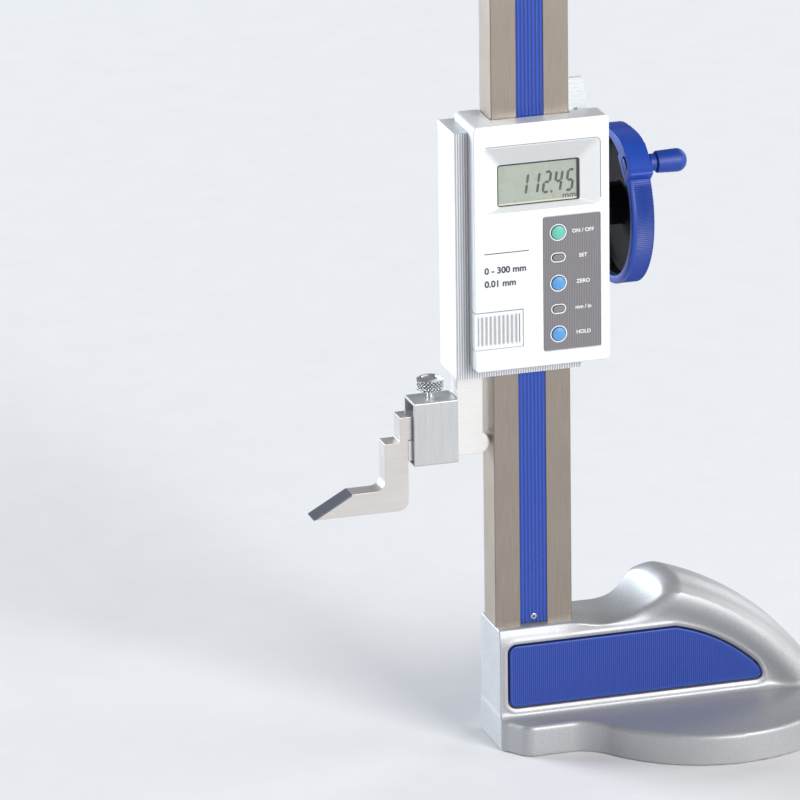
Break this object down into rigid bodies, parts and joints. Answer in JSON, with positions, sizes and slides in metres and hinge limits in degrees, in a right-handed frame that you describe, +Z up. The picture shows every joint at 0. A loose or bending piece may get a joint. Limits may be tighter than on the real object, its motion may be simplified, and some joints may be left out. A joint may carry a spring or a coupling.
{
  "type": "digital height gauge",
  "caption": "Digital height gauge: cast base with round tail and hand rail, upright column, geared slider with readout, keys, crank handwheel and clamped offset scriber.",
  "frame": {"origin": "on the flat underside of the base, straight below the column's axis", "axes": "+X from the scriber side towards the base's round tail, +Y away from the viewer of the display, +Z up along the column"},
  "size_m": [0.2396, 0.126, 0.505],
  "materials": {
    "cast_silver": "silver enamel, fine grain",
    "grip_blue": "ribbed",
    "column_steel": "ground lengthwise",
    "scale_foil": "etched",
    "cover_blue": "ribbed lengthwise",
    "screw_steel": "turned",
    "screw_black": "black oxide",
    "cap_grey": "moulded",
    "rack_steel": "hobbed",
    "frame_aluminium": "extruded, satin anodised",
    "bronze": "turned",
    "housing_white": "fine grain",
    "panel_grey": "lined film",
    "mat_rubber": "moulded",
    "board_green": "solder mask",
    "readout_green": "reflective display",
    "clear_window": "clear",
    "cell_steel": "nickelled",
    "jaw_steel": "ground",
    "box_steel": "satin",
    "tip_carbide": "lapped carbide",
    "wheel_blue": "moulded, ribbed rim",
    "lever_grey": "satin",
    "thumb_steel": "knurled",
    "key_green": "moulded",
    "key_white": "moulded",
    "key_blue": "moulded"
  },
  "bodies": {
    "base": {"base_casting": "cast_silver", "front_grip": "grip_blue", "rear_grip": "grip_blue", "column": "column_steel", "main_scale": "scale_foil", "scale_cover": "cover_blue", "scale_screws": "screw_steel", "column_bolts": "screw_black", "column_cap": "cap_grey", "cap_screws": "screw_black", "feed_rack": "rack_steel"},
    "slider": {"slider_frame": "frame_aluminium", "gib_strip": "bronze", "gib_screws": "screw_black", "clamp_shoe": "bronze", "display_housing": "housing_white", "housing_screws": "screw_black", "key_panel": "panel_grey", "keypad_mat": "mat_rubber", "circuit_board": "board_green", "sensor_head": "board_green", "lcd_module": "readout_green", "lcd_window": "clear_window", "coin_cell": "cell_steel", "battery_contact": "bronze", "jaw": "jaw_steel", "jaw_screws": "screw_black", "clamp_box": "box_steel", "gear_case": "frame_aluminium", "gear_case_screws": "screw_black", "shaft_bushes": "bronze"},
    "handwheel": {"handwheel": "wheel_blue", "drive_shaft": "rack_steel", "pinion": "rack_steel", "hub_screw": "screw_steel", "knob_axle": "screw_steel"},
    "knob": {"knob": "wheel_blue"},
    "clamp_lever": {"clamp_lever": "lever_grey", "clamp_stud": "screw_black"},
    "clamp_screw": {"clamp_screw": "thumb_steel"},
    "scriber": {"scriber": "jaw_steel", "scriber_tip": "tip_carbide"},
    "power_key": {"power_key": "key_green"},
    "set_key": {"set_key": "key_white"},
    "zero_key": {"zero_key": "key_blue"},
    "unit_key": {"unit_key": "key_white"},
    "hold_key": {"hold_key": "key_blue"},
    "battery_cover": {"battery_cover": "housing_white"}
  },
  "joints": [
    {"name": "slider_travel", "type": "slide", "parent": "base", "child": "slider", "axis": [0, 0, 1], "range_m": [-0.1124, 0.1875]},
    {"name": "handwheel_turn", "type": "hinge", "parent": "slider", "child": "handwheel", "pos_m": [0, 0.017, 0.2346], "axis": [1, 0, 0], "range_deg": [-810, 1350]},
    {"name": "knob_turn", "type": "hinge", "parent": "handwheel", "child": "knob", "pos_m": [0.064, -0.00739, 0.25899], "axis": [1, 0, 0], "continuous": true},
    {"name": "clamp_lever_turn", "type": "hinge", "parent": "slider", "child": "clamp_lever", "pos_m": [0.024, 0.004, 0.274], "axis": [1, 0, 0], "range_deg": [-20, 0]},
    {"name": "clamp_screw_turn", "type": "hinge", "parent": "slider", "child": "clamp_screw", "pos_m": [-0.0436, 0, 0.165], "axis": [0, 0, 1], "range_deg": [0, 720]},
    {"name": "scriber_draw", "type": "slide", "parent": "slider", "child": "scriber", "axis": [-1, 0, 0], "range_m": [0, 0.02]},
    {"name": "power_key_press", "type": "slide", "parent": "slider", "child": "power_key", "axis": [0, 1, 0], "range_m": [0, 0.0008], "stiffness_N_per_m": 400, "springref_m": -0.0004},
    {"name": "set_key_press", "type": "slide", "parent": "slider", "child": "set_key", "axis": [0, 1, 0], "range_m": [0, 0.0008], "stiffness_N_per_m": 400, "springref_m": -0.0004},
    {"name": "zero_key_press", "type": "slide", "parent": "slider", "child": "zero_key", "axis": [0, 1, 0], "range_m": [0, 0.0008], "stiffness_N_per_m": 400, "springref_m": -0.0004},
    {"name": "unit_key_press", "type": "slide", "parent": "slider", "child": "unit_key", "axis": [0, 1, 0], "range_m": [0, 0.0008], "stiffness_N_per_m": 400, "springref_m": -0.0004},
    {"name": "hold_key_press", "type": "slide", "parent": "slider", "child": "hold_key", "axis": [0, 1, 0], "range_m": [0, 0.0008], "stiffness_N_per_m": 400, "springref_m": -0.0004},
    {"name": "battery_cover_draw", "type": "slide", "parent": "slider", "child": "battery_cover", "axis": [-1, 0, 0], "range_m": [0, 0.022]}
  ],
  "couplings": [
    {"joint": "handwheel_turn", "follows": "slider_travel", "rad_per_m": 125}
  ]
}
